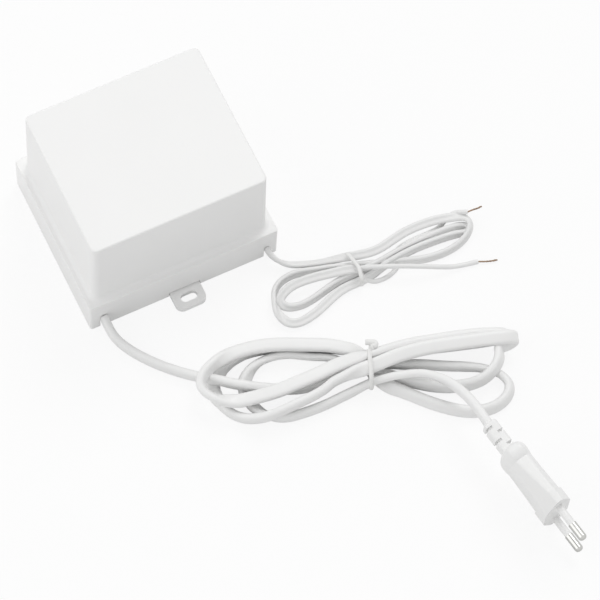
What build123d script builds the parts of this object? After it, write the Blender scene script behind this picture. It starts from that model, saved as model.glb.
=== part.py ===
from build123d import *
import math
import os

# Control transformer in a white moulded box, with a two-core mains lead on a flat two-pin plug
# and a twin output lead whose cores end stripped. Millimetres, +Z up, the box stands on z = 0.
# The origin is the middle of the box's footprint. The front wall, with both leads, faces -Y.

# Box
BASE_W, BASE_D = 96.0, 84.5          # outside of the skirt, along X and along Y
BOX_H = 71.0                         # top of the lid above the floor
SKIRT_H = 22.0                       # height of the wider lower part
LEDGE = 3.8                          # how far the skirt stands out past the upper walls
DRAFT_DEG = 0.75                     # draft of the upper walls
WALL = 2.5
UPPER_CORNER_R, SKIRT_CORNER_R = 3.5, 1.4
LEDGE_FILLET_R, TOP_EDGE_R, SKIRT_EDGE_R = 2.6, 0.9, 0.5
CAVITY_CORNER_R = 1.2
UPPER_W, UPPER_D = BASE_W - 2 * LEDGE, BASE_D - 2 * LEDGE

# Base plate, with one slotted lug at the middle of the front and one at the back
PLATE_T = 3.0
PLATE_GAP = 0.2                      # all round, inside the skirt
LUG_W, LUG_REACH, LUG_CORNER_R = 15.2, 52.2, 3.4
SLOT_L, SLOT_W, SLOT_Y = 8.2, 4.3, 47.2
LUG_NOTCH_W, LUG_NOTCH_H = 15.8, 3.7
SCREW_X, SCREW_Y = 22.0, 36.2        # the four screws that hold the plate in the housing
SCREW_R, SCREW_HEAD_R, SCREW_L = 1.45, 2.7, 15.0
BOSS_R, BOSS_TOP = 3.6, 20.5
SCREW_HEAD_H, DRIVE_DEPTH, DRIVE_REACH = 1.5, 1.0, 0.55
PILOT_SPARE, BOLT_SPARE = 1.0, 1.0

# Transformer: an upright core of E and I laminations, 66 by 55, on the base plate
CORE_Y = 2.0                         # middle of the stack, a little behind the middle of the box
CORE_W, CORE_H, STACK = 66.0, 55.0, 34.0
LEG_W = 11.0                         # yokes and outer legs; the middle leg is twice that
WINDOW_H = 33.0
BOBBIN_WALL, BOBBIN_FIT = 1.2, 0.1
TUBE_CORNER_R, FLANGE_CORNER_R, COIL_CORNER_R = 0.6, 1.5, 6.0
COIL_OUT_X, COIL_OUT_Y = 20.0, 26.3  # half sizes of the windings
TAPE_T = 0.4
FLANGE_OUT_X, FLANGE_OUT_Y = 21.7, 28.0
CLAMP_T, CLAMP_W, CLAMP_FOOT = 1.2, 30.0, 9.0
FOOT_SCREW_X, FOOT_SCREW_DY = 39.0, 9.0
FOOT_SCREW_R, FOOT_HEAD_R, FOOT_HEAD_H = 2.0, 3.6, 1.8
NUT_AF, NUT_H = 7.0, 3.2
TAG_W, TAG_L, TAG_T = 3.0, 12.0, 0.5
TAG_X = (-15.0, -5.0, 5.0, 15.0)
TAG_BACK, WIRE_ON_TAG = 2.0, 2.0     # tag end to the tube, wire end to the tag's outer end
FUSE_R, FUSE_L, FUSE_EDGE = 2.0, 11.0, 0.4
FUSE_GAP = 5.0                       # fuse body to the first tag
WIRE_R, FUSE_WIRE_R = 1.1, 0.4

# Leads: both are flat and stand on edge where they pass through the front wall
MAINS_T, MAINS_W = 3.8, 6.8          # thickness and width of the mains lead
MAINS_X, MAINS_Z = -41.0, 7.6        # middle of the lead at the wall
CORE_D = 2.3                         # one insulated core of the output lead
OUTPUT_X, OUTPUT_Z = 42.2, 7.3
NOTCH_PLAY = 0.1
INNER_END_Y = -25.0
GRIP_FRONT, GRIP_BACK = -36.5, -28.5
GRIP_IN, GRIP_OUT = 30.5, 45.0       # reach of a cord grip, along X from the middle
GRIP_SCREW_X, GRIP_SCREW_R, GRIP_HEAD_R, GRIP_HEAD_H = 34.3, 1.4, 2.8, 2.0
GRIP_SCREW_Y = (GRIP_FRONT + GRIP_BACK) / 2
GRIP_ROOF, GRIP_CORNER_R, GRIP_HEAD_EDGE_R = 2.2, 1.2, 0.8
GRIP_SCREW_LOW = 1.0
HALF = 0.5
FRONT = -BASE_D * HALF
CAVITY_W, CAVITY_D = BASE_W - 2 * WALL, BASE_D - 2 * WALL
CAVITY_TOP = BOX_H - WALL

# Mains lead outside the box, where it isn't coiled, and its last stretch up to the plug
MAINS_LEAD = [(-41.0, FRONT, 7.6), (-41.2, -47.4, 6.9), (-40.2, -53.6, 4.7), (-36.4, -61.0, 3.5),
              (-30.0, -70.2, 3.6), (-22.0, -78.9, 3.5), (-13.4, -86.4, 3.7)]
MAINS_TUBE_R = 2.5
# Output lead outside the box, up to its hank, and the core that leaves the hank
OUTPUT_LEAD = [(42.2, FRONT, 7.3), (42.6, -46.0, 6.9), (45.0, -49.5, 5.0), (49.4, -52.4, 2.9),
               (55.2, -54.6, 2.5), (61.6, -56.9, 2.6), (68.2, -58.7, 3.1)]
OUTPUT_TUBE_R = 1.7
CORE_TAIL = [(80.6, -70.6, 7.2), (87.8, -73.4, 7.1), (95.6, -76.9, 7.2), (103.4, -80.4, 6.6),
             (110.8, -83.2, 4.6), (117.6, -85.4, 2.4), (124.2, -86.6, 1.3), (130.6, -87.7, 1.2)]
CORE_UPPER = [(127.0, -61.9, 7.0), (130.4, -62.5, 7.5), (133.2, -63.9, 7.7), (136.1, -65.2, 7.6)]
CORE_R = CORE_D * HALF
STRAND_R = 0.45                      # stripped and twisted copper end
LOWER_TIP = [(130.6, -87.7, 1.2), (133.6, -89.0, 1.0), (136.6, -90.0, 0.8), (139.4, -90.6, 0.8)]
UPPER_TIP = [(136.1, -65.2, 7.6), (138.6, -65.1, 7.6), (141.1, -65.4, 7.3), (143.5, -65.2, 7.2)]

# Hank of the mains lead: loops at floor level, and the loop and band that lie over them
MAINS_LOW_TOP, MAINS_HIGH_TOP = 7.4, 14.9
MAINS_LOW = [(62.5, -108.6), (47.0, -96.0), (31.5, -85.0), (14.5, -79.6), (0.0, -79.2), (-11.0, -83.6),
             (-17.6, -91.0), (-17.0, -98.0), (-12.0, -107.0), (-5.0, -115.8), (4.0, -121.0),
             (14.0, -124.6), (28.0, -125.8), (43.0, -125.4), (58.0, -125.6), (66.5, -131.6),
             (74.5, -140.6), (82.5, -150.0), (91.0, -157.0), (101.0, -160.4), (111.5, -158.8),
             (118.0, -153.0), (119.6, -145.0), (119.6, -138.0), (113.0, -132.0), (98.0, -122.6),
             (82.0, -114.0), (70.0, -109.6)]
MAINS_LOW_OPENINGS = [
    [(12.0, -96.6), (22.0, -95.0), (32.0, -99.2), (37.6, -104.8), (25.0, -106.6), (13.6, -103.0)],
    [(8.0, -113.8), (19.0, -113.8), (32.0, -113.6), (37.0, -115.0), (27.0, -116.9), (14.0, -116.9)],
    [(80.5, -138.6), (90.0, -143.6), (100.0, -146.4), (108.0, -146.2), (112.4, -148.4),
     (109.6, -152.4), (102.6, -154.0), (94.6, -151.6), (87.0, -146.4)],
]
MAINS_HIGH = [(61.5, -107.6), (50.8, -99.4), (41.3, -93.1), (24.6, -86.7), (13.0, -83.2), (4.4, -82.9),
              (-5.6, -84.6), (-13.2, -89.2), (-14.6, -95.9), (-11.4, -103.6), (-3.0, -109.6), (15.0, -112.6),
              (30.0, -112.8), (45.0, -115.8), (57.0, -121.4), (70.0, -122.6), (89.0, -125.6),
              (107.0, -130.2), (118.0, -133.6), (126.0, -135.2), (129.0, -131.4), (124.0, -126.2),
              (111.0, -120.4), (92.8, -115.0), (75.0, -109.4)]
MAINS_HIGH_OPENING = [(38.3, -98.6), (22.4, -92.4), (8.5, -89.0), (-2.6, -90.2), (-8.4, -94.2),
                      (-6.0, -101.4), (0.5, -104.8), (12.0, -106.6), (28.0, -107.4), (44.0, -107.0)]

# Hank of the output lead
OUTPUT_LOW_TOP, OUTPUT_HIGH_TOP = 5.3, 8.7
OUTPUT_LOW = [(74.0, -60.4), (66.0, -60.4), (58.0, -57.4), (50.0, -55.6), (42.0, -56.2), (36.0, -60.0),
              (32.6, -66.6), (31.2, -73.4), (33.6, -79.4), (39.6, -83.0), (47.0, -82.8), (56.0, -79.6),
              (65.0, -76.4), (73.0, -75.6), (80.0, -77.4), (86.6, -77.8), (93.0, -75.6), (101.0, -76.6),
              (112.0, -79.8), (124.0, -79.4), (133.0, -76.8), (137.6, -71.0), (136.4, -65.0),
              (130.0, -60.6), (119.0, -58.6), (105.0, -58.8), (93.0, -61.4), (83.0, -61.0)]
OUTPUT_LOW_OPENINGS = [
    [(41.6, -68.9), (50.0, -66.2), (60.0, -67.2), (62.4, -68.6), (54.0, -70.6), (45.0, -70.9)],
]
OUTPUT_HIGH = [(74.4, -61.2), (83.0, -61.8), (93.0, -62.2), (105.0, -59.6), (119.0, -59.4), (125.6, -61.2),
               (130.6, -66.0), (133.0, -70.8), (131.4, -75.2), (128.6, -71.4), (128.6, -67.4),
               (121.0, -64.6), (108.0, -64.6), (97.0, -67.6), (87.0, -69.4), (80.0, -70.0), (73.0, -69.6),
               (66.0, -67.0), (65.0, -63.6)]

# Ties: a strap round each hank, in an upright plane that crosses it
TIE_T, TIE_W = 0.9, 2.2
TIE_FLOOR = 0.15
MAINS_TIE_AT, MAINS_TIE_HEADING, MAINS_TIE_SPAN = (60.1, -116.4), 65.0, 19.6
OUTPUT_TIE_AT, OUTPUT_TIE_HEADING, OUTPUT_TIE_SPAN = (76.9, -68.2), 79.0, 16.6
TIE_CORNER_R, TIE_HEAD, TIE_HEAD_R = 2.6, (5.6, 3.6, 3.2), 0.96

# Plug: a flat two-pin plug that stands on its narrow edge, pins towards -Y. In its own frame
# x is the thickness, y the long way of its section, and z runs backwards from the face.
PLUG_FACE = (101.6, -219.85, 18.4)   # middle of the face that the pins stand on
PLUG_HEADING, PLUG_DIP, PLUG_ROLL = -79.7, 3.0, -3.5
PIN_SPACING, PIN_L, PIN_R = 18.6, 19.0, 2.0
PIN_SHANK_R, PIN_TIP_R = 1.4, 1.6    # the pin inside its sleeve, and the rounding of its end
SLEEVE_L, SLEEVE_R = 10.0, 1.8
COLLAR_L = 6.6
# Sections of the plug: place, half length, half thickness, half flat side, half nose, rounding
COLLAR = (17.65, 6.85, 8.0, 1.6, 1.2)
WAIST = [(6.6, 16.9, 6.2, 7.4, 1.6, 1.6), (17.0, 14.0, 5.95, 6.8, 2.2, 2.0),
         (27.4, 11.6, 5.9, 6.0, 3.2, 2.4)]
SHOULDER = [WAIST[-1], (30.2, 12.9, 6.1, 6.6, 3.4, 2.6), (33.0, 12.8, 6.0, 6.5, 3.3, 2.6),
            (35.2, 10.6, 4.9, 5.2, 2.8, 2.2)]
SIDE_BOW_R = 8.0                     # rounding between the broad sides and the noses
RELIEF_START, RELIEF_END = 34.6, 51.1
RELIEF_W, RELIEF_T = 8.6, 7.0
RELIEF_SIDE_R, RELIEF_END_R = 1.8, 1.0
RELIEF_CUTS = (38.0, 41.3, 44.9, 48.4)
RELIEF_CUT_W, RELIEF_CUT_IN = 1.3, 0.3
RELIEF_CORE_T, RELIEF_CORE_W = 4.2, 6.9
MAINS_TAIL_START = [(64.0, -125.3, 9.5), (69.6, -127.2, 11.0), (78.1, -130.7, 12.5),
                    (83.9, -136.0, 13.4), (88.0, -142.3, 14.8), (90.6, -150.3, 17.0), (91.9, -159.1, 19.4)]

os.makedirs("parts", exist_ok=True)


def write(node, shape):
    """Write one node's STEP file under its name."""
    shape.label = node
    export_step(shape, f"parts/{node}.step")


def block(x0, x1, y0, y1, z0, z1):
    """A box given by its limits along X, Y and Z."""
    return Pos((x0 + x1) / 2, (y0 + y1) / 2, (z0 + z1) / 2) * Box(x1 - x0, y1 - y0, z1 - z0)


def upright(x, y, z0, z1, radius):
    """A cylinder that stands on (x, y) from z0 to z1."""
    return Pos(x, y, (z0 + z1) / 2) * Cylinder(radius, z1 - z0)


def ring_block(half_x, half_y, hole_x, hole_y, z0, z1, radius):
    """A rounded rectangular ring about the core's middle leg."""
    outline = RectangleRounded(2 * half_x, 2 * half_y, radius) - Rectangle(2 * hole_x, 2 * hole_y)
    return Pos(0, CORE_Y, z0) * extrude(outline, z1 - z0)


def tapered(width, depth, radius, z0, z1, taper):
    """A rounded rectangle raised from z0 to z1 with draft."""
    return extrude(Plane.XY.offset(z0) * RectangleRounded(width, depth, radius), z1 - z0, taper=taper)


def without(shape, *others):
    """A shape cut off where it meets others, so that they touch face to face."""
    for other in others:
        shape = shape - other
    return shape


def corner_radii(name, points):
    """The largest tangent arc at each inner corner of a route, printed for the record."""
    radii = []
    for before, corner, after in zip(points, points[1:], points[2:]):
        run_in, run_out = Vector(*corner) - Vector(*before), Vector(*after) - Vector(*corner)
        turn = math.radians(run_in.get_angle(run_out))
        radii.append(0.45 * min(run_in.length, run_out.length) / math.tan(turn / 2))
    print(f"{name}: arc radii {[round(r, 1) for r in radii]} mm")
    return radii


def route(name, points):
    """Straight runs joined by tangent arcs, through the corners of a cord's route."""
    return FilletPolyline(*points, radius=corner_radii(name, points))


def tube(name, points, radius):
    """A round tube along a route; its volume is compared with its section times its length."""
    path = route(name, points)
    solid = sweep(Plane(origin=path @ 0, z_dir=path % 0) * Circle(radius), path=path)
    ideal = math.pi * radius ** 2 * path.length
    print(f"{name}: length {path.length:.1f} mm, volume ratio {solid.volume / ideal:.4f}")
    return solid


def flat_section(thickness, width):
    """The section of a flat lead that stands on edge: a slot shape, upright along Y."""
    return Rot(0, 0, 90) * SlotOverall(width, thickness)


def straight_lead(x, z, thickness, width, y0, y1):
    """A flat lead on edge that runs straight along Y."""
    plane = Plane(origin=(x, y0, z), x_dir=(-1, 0, 0), z_dir=(0, 1, 0))
    return extrude(plane * flat_section(thickness, width), y1 - y0)


def outline(points, z0, z1):
    """A closed smooth outline, raised from z0 to z1."""
    return extrude(Plane.XY.offset(z0) * make_face(Spline(*points, periodic=True)), z1 - z0)


def hex_section(half_long, half_thick, side, nose, radius):
    """The six-sided section of the plug: broad sides, and ends that narrow to a nose."""
    corners = [(half_thick, side), (nose, half_long), (-nose, half_long), (-half_thick, side),
               (-half_thick, -side), (-nose, -half_long), (nose, -half_long), (half_thick, -side)]
    section = Polygon(*corners, align=None)
    section = fillet([v for v in section.vertices() if abs(v.X) > half_thick - 0.01], SIDE_BOW_R)
    return fillet([v for v in section.vertices() if abs(v.Y) > half_long - 0.01], radius)


# Housing: one shell with a wider skirt, open underneath
housing = tapered(BASE_W, BASE_D, SKIRT_CORNER_R, 0, SKIRT_H, 0)
housing += tapered(UPPER_W, UPPER_D, UPPER_CORNER_R, SKIRT_H, BOX_H, DRAFT_DEG)
at_ledge = [e for e in housing.edges() if abs(e.center().Z - SKIRT_H) < 0.01]
inner_edge = [e for e in at_ledge if abs(e.center().X) <= UPPER_W / 2 + 0.01
              and abs(e.center().Y) <= UPPER_D / 2 + 0.01]
housing = fillet(inner_edge, LEDGE_FILLET_R)
rims = [e for e in housing.edges() if abs(e.center().Z - SKIRT_H) < 0.01
        and (abs(e.center().X) > BASE_W / 2 - SKIRT_CORNER_R
             or abs(e.center().Y) > BASE_D / 2 - SKIRT_CORNER_R)]
housing = fillet(rims, SKIRT_EDGE_R)
housing = fillet(housing.edges().group_by(Axis.Z)[-1], TOP_EDGE_R)
housing -= tapered(CAVITY_W, CAVITY_D, CAVITY_CORNER_R, -1, SKIRT_H - WALL, 0)
housing -= tapered(UPPER_W - 2 * WALL, UPPER_D - 2 * WALL, CAVITY_CORNER_R, SKIRT_H - WALL - 1, CAVITY_TOP,
                   DRAFT_DEG)
plate_spots = [(sx * SCREW_X, sy * SCREW_Y) for sx in (-1, 1) for sy in (-1, 1)]
for x, y in plate_spots:
    housing += upright(x, y, PLATE_T, BOSS_TOP, BOSS_R)
for x, y in plate_spots:
    housing -= upright(x, y, PLATE_T, SCREW_L + PILOT_SPARE, SCREW_R)
for side in (-1, 1):
    near, far = sorted((side * (CAVITY_D * HALF - 1), side * (BASE_D * HALF + 1)))
    housing -= block(-LUG_NOTCH_W / 2, LUG_NOTCH_W / 2, near, far, -1, LUG_NOTCH_H)
for x, z, thick, wide in ((MAINS_X, MAINS_Z, MAINS_T, MAINS_W), (OUTPUT_X, OUTPUT_Z, CORE_D, 2 * CORE_D)):
    wall_back = -CAVITY_D * HALF + WALL * HALF
    housing -= straight_lead(x, z, thick + 2 * NOTCH_PLAY, wide + 2 * NOTCH_PLAY, FRONT - 1, wall_back)
    housing -= block(x - thick / 2 - NOTCH_PLAY, x + thick / 2 + NOTCH_PLAY, FRONT - 1, wall_back, -1, z)
write("housing", housing)

# Base plate, its lugs, its pads under the cord grips and all its screw holes
plate_half_w, plate_half_d = CAVITY_W / 2 - PLATE_GAP, CAVITY_D / 2 - PLATE_GAP
face = RectangleRounded(2 * plate_half_w, 2 * plate_half_d, CAVITY_CORNER_R)
lug = fillet(Rectangle(LUG_W, 2 * LUG_REACH).vertices(), LUG_CORNER_R)
face = face + lug
for side in (-1, 1):
    face -= Pos(0, side * SLOT_Y) * SlotOverall(SLOT_L, SLOT_W)
base_plate = extrude(face, PLATE_T)
grip_sides = ((-1, MAINS_Z - MAINS_W / 2), (1, OUTPUT_Z - CORE_D))
for side, pad_top in grip_sides:
    x0, x1 = sorted((side * GRIP_IN, side * GRIP_OUT))
    base_plate += block(x0, x1, GRIP_FRONT, GRIP_BACK, PLATE_T, pad_top)
    base_plate -= upright(side * GRIP_SCREW_X, GRIP_SCREW_Y, GRIP_SCREW_LOW, pad_top, GRIP_SCREW_R)
foot_spots = [(sx * FOOT_SCREW_X, CORE_Y + sy * FOOT_SCREW_DY) for sx in (-1, 1) for sy in (-1, 1)]
for spots, head_r, head_h, shank_r in ((plate_spots, SCREW_HEAD_R, SCREW_HEAD_H, SCREW_R),
                                       (foot_spots, FOOT_HEAD_R, FOOT_HEAD_H, FOOT_SCREW_R)):
    for x, y in spots:
        base_plate -= upright(x, y, 0, PLATE_T, shank_r)
        base_plate -= Pos(x, y, head_h / 2) * Cone(head_r, shank_r, head_h)
write("base_plate", base_plate)


def countersunk(x, y, head_r, head_h, shank_r, top, drive):
    """A countersunk screw, head down and flush with z = 0, with a cross recess."""
    screw = Pos(x, y, head_h / 2) * Cone(head_r, shank_r, head_h) + upright(x, y, head_h, top, shank_r)
    arm = head_r * DRIVE_REACH
    for turn in (0, 90):
        screw -= Pos(x, y, drive / 2) * Rot(0, 0, turn) * Box(2 * arm, arm / 2, drive)
    return screw


base_screws = [countersunk(x, y, SCREW_HEAD_R, SCREW_HEAD_H, SCREW_R, SCREW_L, DRIVE_DEPTH)
               for x, y in plate_spots]
write("base_screws", Compound(children=base_screws))

# Core: the E stack stands with its back on the base plate, the I stack closes it on top
core_low = PLATE_T
yoke_top = core_low + LEG_W
window_top = yoke_top + WINDOW_H
core_top = core_low + CORE_H
stack_y0, stack_y1 = CORE_Y - STACK / 2, CORE_Y + STACK / 2
e_stack = block(-CORE_W / 2, CORE_W / 2, stack_y0, stack_y1, core_low, window_top)
for side in (-1, 1):
    x0, x1 = sorted((side * LEG_W, side * 2 * LEG_W))
    e_stack -= block(x0, x1, stack_y0, stack_y1, yoke_top, window_top)
write("core_e_stack", e_stack)
write("core_i_stack", block(-CORE_W / 2, CORE_W / 2, stack_y0, stack_y1, window_top, core_top))

# Bobbin with two chambers, its two windings and the tape round them
tube_in_x, tube_in_y = LEG_W + BOBBIN_FIT, STACK / 2 + BOBBIN_FIT
tube_out_x, tube_out_y = tube_in_x + BOBBIN_WALL, tube_in_y + BOBBIN_WALL
bobbin_low, bobbin_top = yoke_top + BOBBIN_FIT, window_top - 2 * BOBBIN_FIT
chamber = (bobbin_top - bobbin_low - 3 * BOBBIN_WALL) / 2
flange_z = [bobbin_low, bobbin_low + BOBBIN_WALL + chamber, bobbin_top - BOBBIN_WALL]
bobbin = ring_block(tube_out_x, tube_out_y, tube_in_x, tube_in_y, bobbin_low, bobbin_top, TUBE_CORNER_R)
for z in flange_z:
    bobbin += ring_block(FLANGE_OUT_X, FLANGE_OUT_Y, tube_in_x, tube_in_y, z, z + BOBBIN_WALL,
                         FLANGE_CORNER_R)
write("bobbin", bobbin)
for name, low in (("primary", flange_z[0] + BOBBIN_WALL), ("secondary", flange_z[1] + BOBBIN_WALL)):
    high = low + chamber
    winding = ring_block(COIL_OUT_X, COIL_OUT_Y, tube_out_x, tube_out_y, low, high, COIL_CORNER_R)
    write(f"{name}_winding", winding)
    tape = ring_block(COIL_OUT_X + TAPE_T, COIL_OUT_Y + TAPE_T, tube_out_x, tube_out_y, low, high,
                      COIL_CORNER_R + TAPE_T) - winding
    write(f"{name}_tape", tape)

# Steel strap over the core, with a foot on each side, bolted through the base plate
strap_half = CORE_W / 2
strap = block(-strap_half - CLAMP_T, strap_half + CLAMP_T, CORE_Y - CLAMP_W / 2, CORE_Y + CLAMP_W / 2,
              core_low, core_top + CLAMP_T)
strap -= block(-strap_half, strap_half, CORE_Y - CLAMP_W, CORE_Y + CLAMP_W, core_low, core_top)
for side in (-1, 1):
    x0, x1 = sorted((side * (strap_half + CLAMP_T), side * (strap_half + CLAMP_T + CLAMP_FOOT)))
    strap += block(x0, x1, CORE_Y - CLAMP_W / 2, CORE_Y + CLAMP_W / 2, core_low, core_low + CLAMP_T)
for x, y in foot_spots:
    strap -= upright(x, y, core_low, core_low + CLAMP_T, FOOT_SCREW_R)
write("core_clamp", strap)
foot_top = core_low + CLAMP_T
nut_top = foot_top + NUT_H
clamp_bolts = [countersunk(x, y, FOOT_HEAD_R, FOOT_HEAD_H, FOOT_SCREW_R, nut_top + BOLT_SPARE, DRIVE_DEPTH)
               for x, y in foot_spots]
write("clamp_bolts", Compound(children=clamp_bolts))
nut = extrude(RegularPolygon(NUT_AF / 2, 6, major_radius=False) - Circle(FOOT_SCREW_R), NUT_H)
write("clamp_nuts", Compound(children=[Pos(x, y, foot_top) * nut for x, y in foot_spots]))

# Soldering tags on the bobbin's top flange, and the thermal fuse in the line wire
tag_y1 = CORE_Y - tube_out_y - TAG_BACK
tag_y0 = tag_y1 - TAG_L
tags = [block(x - TAG_W / 2, x + TAG_W / 2, tag_y0, tag_y1, bobbin_top, bobbin_top + TAG_T) for x in TAG_X]
write("winding_tags", Compound(children=tags))
wire_y = tag_y0 + WIRE_ON_TAG
wire_z = bobbin_top + TAG_T + WIRE_R
fuse_x1 = TAG_X[0] - FUSE_GAP
fuse_x0 = fuse_x1 - FUSE_L
fuse_z = bobbin_top + TAG_T + FUSE_WIRE_R
fuse_lead = Pos((fuse_x1 + TAG_X[0]) / 2, wire_y, fuse_z) * Rot(0, 90, 0)
fuse_lead *= Cylinder(FUSE_WIRE_R, TAG_X[0] - fuse_x1)
fuse = Pos((fuse_x0 + fuse_x1) / 2, wire_y, fuse_z) * Rot(0, 90, 0) * Cylinder(FUSE_R, FUSE_L)
thermal_fuse = chamfer(fuse.edges(), FUSE_EDGE) + fuse_lead
write("thermal_fuse", thermal_fuse)

# Leads inside the box: through the grip, then single wires up to the tags
mains_inner = straight_lead(MAINS_X, MAINS_Z, MAINS_T, MAINS_W, FRONT, INNER_END_Y)
output_inner = straight_lead(OUTPUT_X, OUTPUT_Z, CORE_D, 2 * CORE_D, FRONT, INNER_END_Y)
write("mains_lead_inner", mains_inner)
write("output_lead_inner", output_inner)
core_gap = 1.5
wires = {
    "line_wire": [
        (MAINS_X, INNER_END_Y, MAINS_Z + core_gap), (MAINS_X + 1.5, INNER_END_Y + 6, MAINS_Z + 3),
        (-37.6, -17.5, 24.0), (-37.4, -20.0, 40.0), (-35.6, wire_y + 0.5, 46.6), (fuse_x0, wire_y, fuse_z)],
    "neutral_wire": [
        (MAINS_X, INNER_END_Y, MAINS_Z - core_gap), (MAINS_X + 3.5, INNER_END_Y + 4, MAINS_Z + 1),
        (-34.4, -24.0, 22.0), (-30.0, -29.8, 38.0), (-18.0, -32.0, 47.0), (TAG_X[1], wire_y, wire_z)],
    "output_wire_a": [
        (OUTPUT_X, INNER_END_Y, OUTPUT_Z + CORE_R), (OUTPUT_X - 2.0, INNER_END_Y + 5, OUTPUT_Z + 3),
        (37.0, -19.0, 24.0), (34.0, -24.0, 39.0), (25.0, -30.0, 47.2), (TAG_X[3], wire_y, wire_z)],
    "output_wire_b": [
        (OUTPUT_X, INNER_END_Y, OUTPUT_Z - CORE_R), (OUTPUT_X - 4.5, INNER_END_Y + 3.5, OUTPUT_Z),
        (33.6, -26.5, 21.0), (28.0, -31.4, 37.0), (17.0, -33.4, 48.4), (TAG_X[2], wire_y, wire_z)],
}
for name, points in wires.items():
    write(name, without(tube(name, points, WIRE_R), mains_inner, output_inner, thermal_fuse, *tags))

# Cord grips: a saddle over each lead, screwed down on its pad
grip_screws = []
for name, side, x, z, thick, wide in (("mains_cord_grip", -1, MAINS_X, MAINS_Z, MAINS_T, MAINS_W),
                                      ("output_cord_grip", 1, OUTPUT_X, OUTPUT_Z, CORE_D, 2 * CORE_D)):
    pad_top = z - wide / 2
    roof = z + wide / 2 + GRIP_ROOF
    x0, x1 = sorted((side * GRIP_IN, side * GRIP_OUT))
    grip = block(x0, x1, GRIP_FRONT, GRIP_BACK, pad_top, roof)
    grip = fillet(grip.edges().filter_by(Axis.Z), GRIP_CORNER_R)
    grip -= straight_lead(x, z, thick, wide, GRIP_FRONT, GRIP_BACK)
    grip -= block(x - thick / 2, x + thick / 2, GRIP_FRONT, GRIP_BACK, pad_top, z)
    grip -= upright(side * GRIP_SCREW_X, GRIP_SCREW_Y, pad_top, roof, GRIP_SCREW_R)
    write(name, grip)
    head = upright(side * GRIP_SCREW_X, GRIP_SCREW_Y, roof, roof + GRIP_HEAD_H, GRIP_HEAD_R)
    head = fillet(head.edges().group_by(Axis.Z)[-1], GRIP_HEAD_EDGE_R)
    shank = upright(side * GRIP_SCREW_X, GRIP_SCREW_Y, GRIP_SCREW_LOW, roof, GRIP_SCREW_R)
    grip_screws.append(head + shank)
write("grip_screws", Compound(children=grip_screws))


def tie_strap(at, heading, span, top):
    """A strap round a hank: a rounded upright ring, and its head on the far edge of the top."""
    height = top - TIE_FLOOR + 2 * TIE_T
    plane = Plane(origin=(at[0], at[1], TIE_FLOOR + height / 2), x_dir=(math.cos(math.radians(heading)),
                  math.sin(math.radians(heading)), 0),
                  z_dir=(math.sin(math.radians(heading)), -math.cos(math.radians(heading)), 0))
    outer = RectangleRounded(span + 2 * TIE_T, height, TIE_CORNER_R + TIE_T)
    band = outer - RectangleRounded(span, height - 2 * TIE_T, TIE_CORNER_R)
    ring = extrude(plane * band, TIE_W / 2, both=True)
    length, width, tall = TIE_HEAD
    knot = Box(length, tall, width)
    knot = fillet(knot.edges(), TIE_HEAD_R)
    return ring + plane * Pos(span / 2 - length / 2, height / 2 + tall / 2 - TIE_T, 0) * knot


mains_tie = tie_strap(MAINS_TIE_AT, MAINS_TIE_HEADING, MAINS_TIE_SPAN, MAINS_HIGH_TOP - 1.0)
output_tie = tie_strap(OUTPUT_TIE_AT, OUTPUT_TIE_HEADING, OUTPUT_TIE_SPAN, OUTPUT_HIGH_TOP - 0.6)
write("mains_tie", mains_tie)
write("output_tie", output_tie)

# Hanks: the outer form of each, with the openings of its loops
mains_hank = outline(MAINS_LOW, 0, MAINS_LOW_TOP)
for points in MAINS_LOW_OPENINGS:
    mains_hank -= outline(points, 0, MAINS_LOW_TOP)
mains_high = outline(MAINS_HIGH, MAINS_LOW_TOP, MAINS_HIGH_TOP)
mains_high -= outline(MAINS_HIGH_OPENING, MAINS_LOW_TOP, MAINS_HIGH_TOP)
mains_hank = mains_hank + mains_high - mains_tie
output_hank = outline(OUTPUT_LOW, 0, OUTPUT_LOW_TOP)
for points in OUTPUT_LOW_OPENINGS:
    output_hank -= outline(points, 0, OUTPUT_LOW_TOP)
output_hank = output_hank + outline(OUTPUT_HIGH, OUTPUT_LOW_TOP, OUTPUT_HIGH_TOP) - output_tie
write("mains_hank", mains_hank)
write("output_hank", output_hank)

# Leads outside the box, as plain tubes cut off where they enter the hanks
mains_lead = tube("mains_lead", MAINS_LEAD, MAINS_TUBE_R)
write("mains_lead", without(mains_lead, mains_hank, housing, mains_inner))
output_lead = tube("output_lead", OUTPUT_LEAD, OUTPUT_TUBE_R)
write("output_lead", without(output_lead, output_hank, housing, output_inner))
for place, core_points, tip_points in (("lower", CORE_TAIL, LOWER_TIP), ("upper", CORE_UPPER, UPPER_TIP)):
    core = without(tube(f"{place}_core_end", core_points, CORE_R), output_hank)
    write(f"{place}_core_end", core)
    write(f"{place}_conductor_tip", without(tube(f"{place}_conductor_tip", tip_points, STRAND_R), core))

# Plug
heading, dip = math.radians(PLUG_HEADING), math.radians(PLUG_DIP)
pin_dir = Vector(math.cos(heading) * math.cos(dip), math.sin(heading) * math.cos(dip), -math.sin(dip))
level = Vector(math.sin(heading), -math.cos(heading), 0)
plug_plane = Plane(origin=PLUG_FACE, x_dir=level, z_dir=-pin_dir) * Rot(0, 0, PLUG_ROLL)


def along_pin(sign, z0, z1, radius):
    """A cylinder on one pin's axis, in the plug's frame."""
    return upright(0, sign * PIN_SPACING / 2, z0, z1, radius)


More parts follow.
